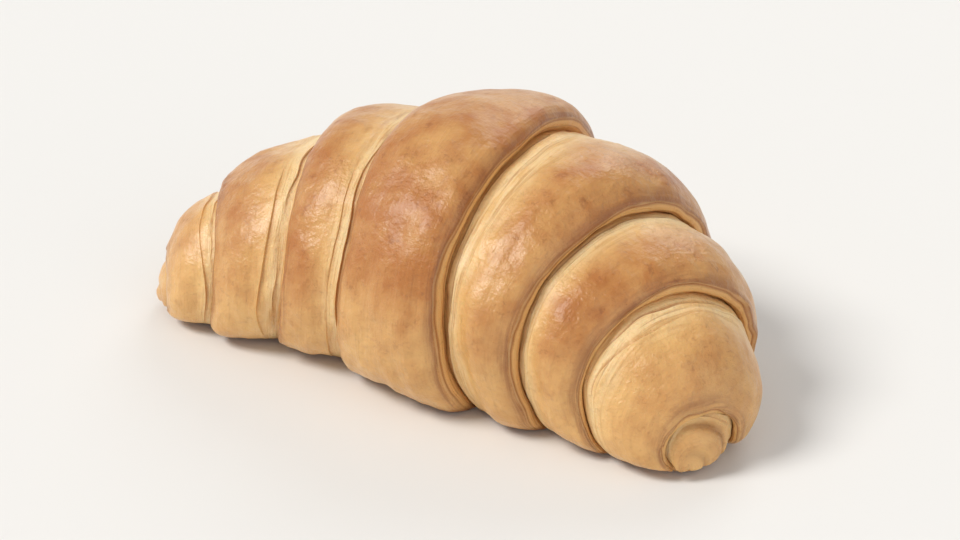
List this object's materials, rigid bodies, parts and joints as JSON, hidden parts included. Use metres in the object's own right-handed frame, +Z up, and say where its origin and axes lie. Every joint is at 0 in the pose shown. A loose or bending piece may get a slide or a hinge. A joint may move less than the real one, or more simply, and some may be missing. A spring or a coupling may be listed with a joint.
{
  "type": "croissant",
  "caption": "Small plump croissant: layered dough rolled up, curved into a crescent and baked in one piece, with a flat base to rest on.",
  "frame": {"origin": "middle of the bounding box's underside, on the flat base", "axes": "+X from tip to tip, +Y towards the outer, bulging side of the crescent, +Z up"},
  "size_m": [0.122, 0.068, 0.047],
  "materials": {
    "crust": "golden-brown baked crust with a soft satin sheen, browner along the edge of each layer and pale in the creases"
  },
  "bodies": {
    "root": {"croissant": "crust"}
  },
  "joints": []
}
